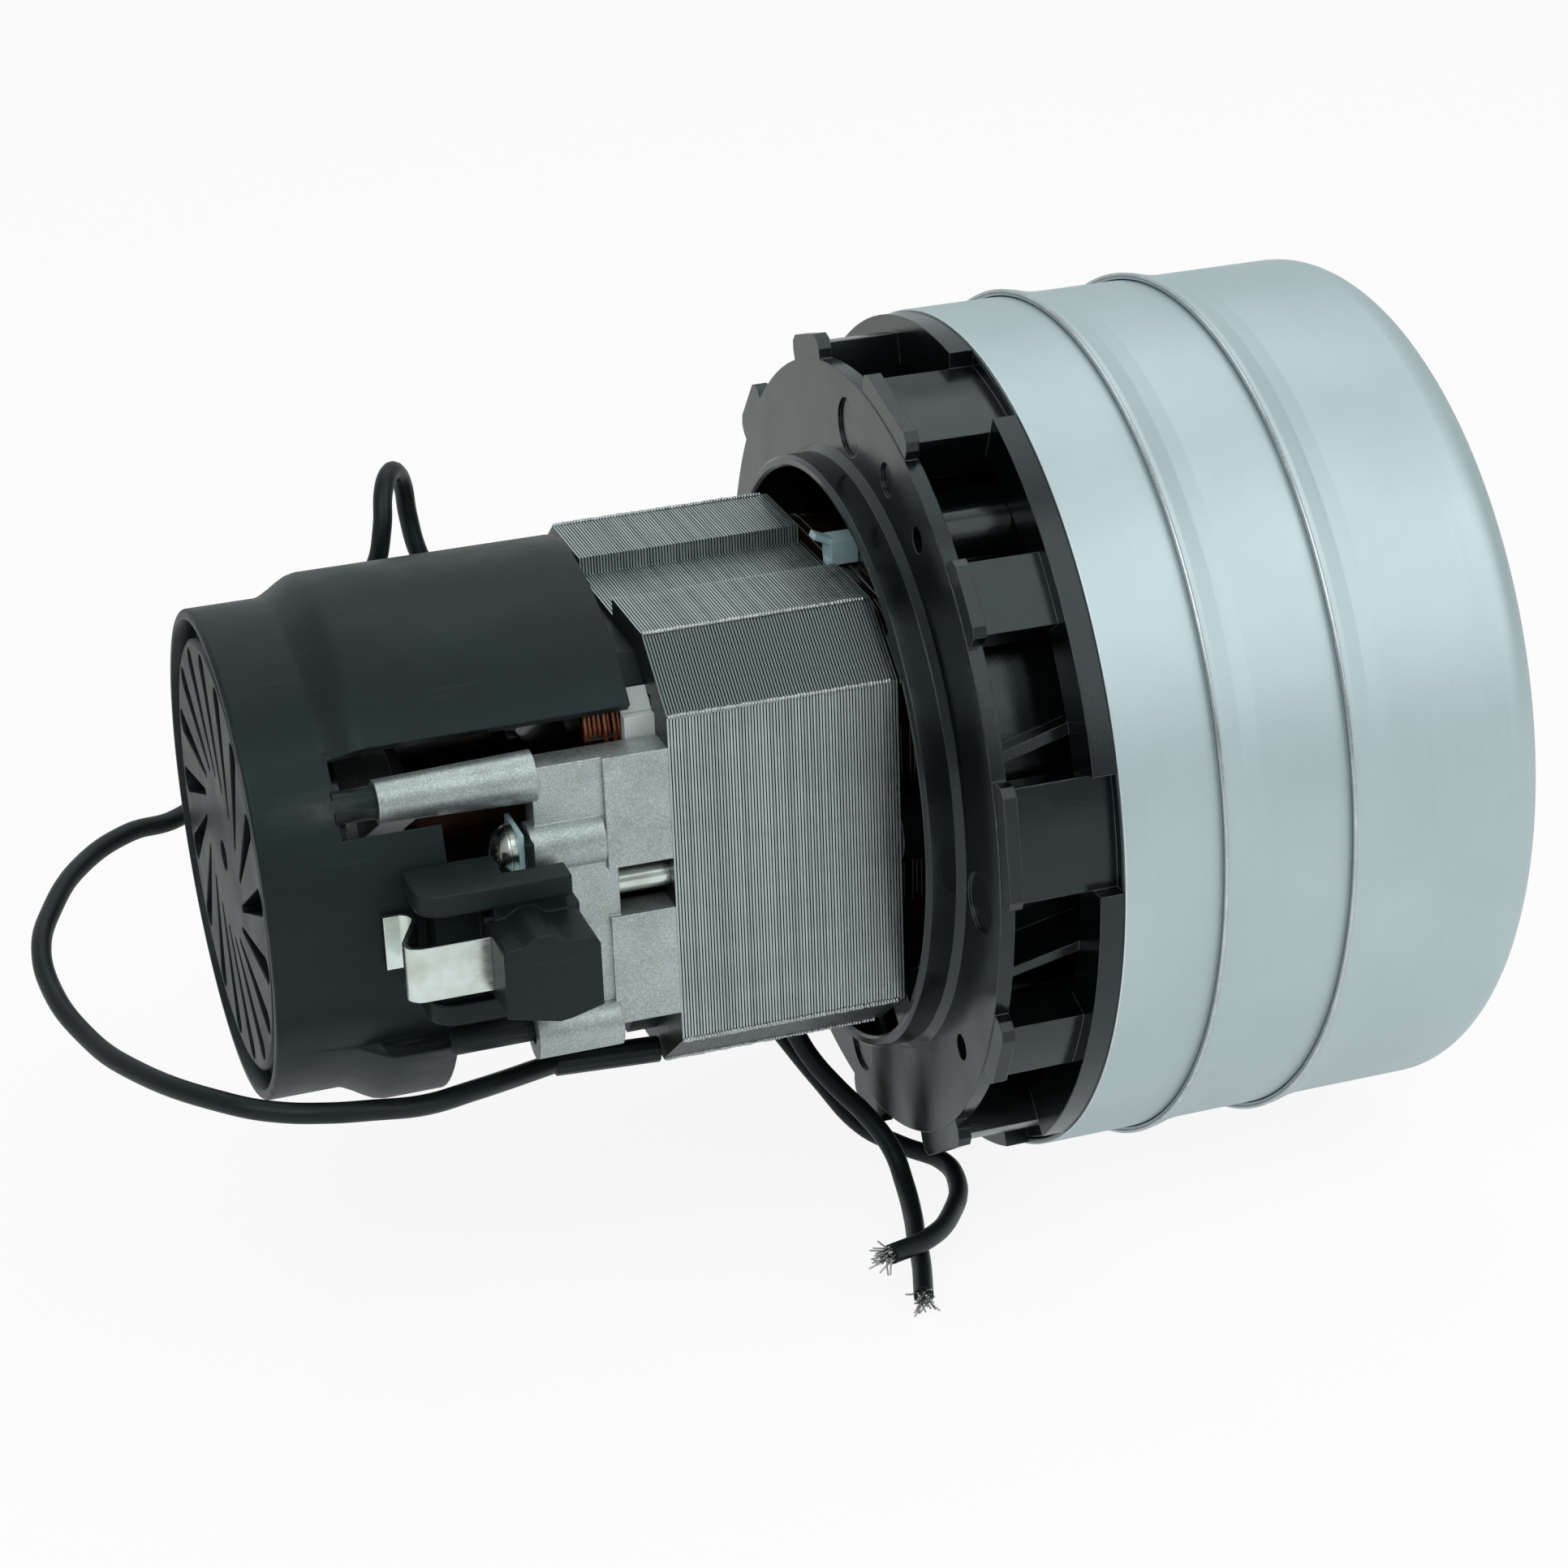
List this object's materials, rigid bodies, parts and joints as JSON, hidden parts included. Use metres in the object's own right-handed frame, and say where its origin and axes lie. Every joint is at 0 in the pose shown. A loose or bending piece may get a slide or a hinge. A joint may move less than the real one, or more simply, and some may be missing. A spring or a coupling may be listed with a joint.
{
  "type": "vacuum motor unit",
  "caption": "By-pass vacuum motor: open brushed motor with vent cap and laminated stator, vented fan bracket and stacked steel fan shells with an inlet eye.",
  "frame": {"origin": "centre of the inlet eye where its straight wall starts, 1.5 mm inside the end face", "axes": "+X along the shaft and out of the inlet, +Z towards the long skirt of the vent cap"},
  "size_m": [0.2329, 0.1466, 0.1475],
  "materials": {
    "cap_plastic": "matt moulded",
    "bracket_plastic": "satin moulded",
    "holder_plastic": "matt moulded",
    "die_cast": "as cast",
    "zinc": "bright zinc",
    "pale_plastic": "satin",
    "white_plastic": "satin",
    "brass": "drawn",
    "spring_steel": "ground",
    "carbon": "dull",
    "lamination": "stacked sheet",
    "copper": "enamelled",
    "phenolic": "moulded",
    "bearing_steel": "polished",
    "fan_sheet": "rolled",
    "shell_steel": "satin",
    "lead_rubber": "satin",
    "tinned_wire": "tinned strands"
  },
  "bodies": {
    "housing": {"vent_cap": "cap_plastic", "end_bracket": "die_cast", "bracket_screws": "zinc", "bracket_washers": "zinc", "insulating_tabs": "pale_plastic", "brush_holder_front": "holder_plastic", "brush_holder_rear": "holder_plastic", "brush_tube_front": "brass", "brush_tube_rear": "brass", "brush_terminal_front": "zinc", "brush_terminal_rear": "zinc", "brush_spring_front": "spring_steel", "brush_spring_rear": "spring_steel", "stator_core": "lamination", "field_coil_top": "copper", "field_coil_bottom": "copper", "coil_insulator_top": "white_plastic", "coil_insulator_bottom": "white_plastic", "coil_former_top": "holder_plastic", "coil_former_bottom": "holder_plastic", "through_bolts": "zinc", "cable_tie": "pale_plastic", "fan_bracket": "bracket_plastic", "rear_bearing_outer": "bearing_steel", "front_bearing_outer": "bearing_steel", "guide_plate_1": "fan_sheet", "guide_plate_2": "fan_sheet", "base_shell": "shell_steel", "middle_shell": "shell_steel", "inlet_shell": "shell_steel", "splice_sleeve": "lead_rubber", "lead_long": "lead_rubber", "lead_short": "lead_rubber", "lead_tips": "tinned_wire"},
    "rotor": {"shaft": "spring_steel", "armature_core": "lamination", "armature_winding": "copper", "commutator_hub": "phenolic", "commutator_bars": "copper", "cooling_fan": "bracket_plastic", "rear_bearing_inner": "bearing_steel", "front_bearing_inner": "bearing_steel", "rear_bearing_balls": "bearing_steel", "front_bearing_balls": "bearing_steel", "bearing_spacer": "spring_steel", "fan_spacers": "spring_steel", "fan_washers": "spring_steel", "fan_nut": "zinc", "fan_stage_1": "fan_sheet", "fan_stage_2": "fan_sheet", "fan_stage_3": "fan_sheet"},
    "brush_front": {"carbon_brush_front": "carbon"},
    "brush_rear": {"carbon_brush_rear": "carbon"}
  },
  "joints": [
    {"name": "rotor_spin", "type": "hinge", "parent": "housing", "child": "rotor", "pos_m": [0, 0, 0], "axis": [1, 0, 0], "continuous": true},
    {"name": "brush_front_slide", "type": "slide", "parent": "housing", "child": "brush_front", "axis": [0, -1, 0], "range_m": [0, 0.008], "stiffness_N_per_m": 100, "springref_m": -0.03, "deforming": ["brush_spring_front"]},
    {"name": "brush_rear_slide", "type": "slide", "parent": "housing", "child": "brush_rear", "axis": [0, 1, 0], "range_m": [0, 0.008], "stiffness_N_per_m": 100, "springref_m": -0.03, "deforming": ["brush_spring_rear"]}
  ]
}
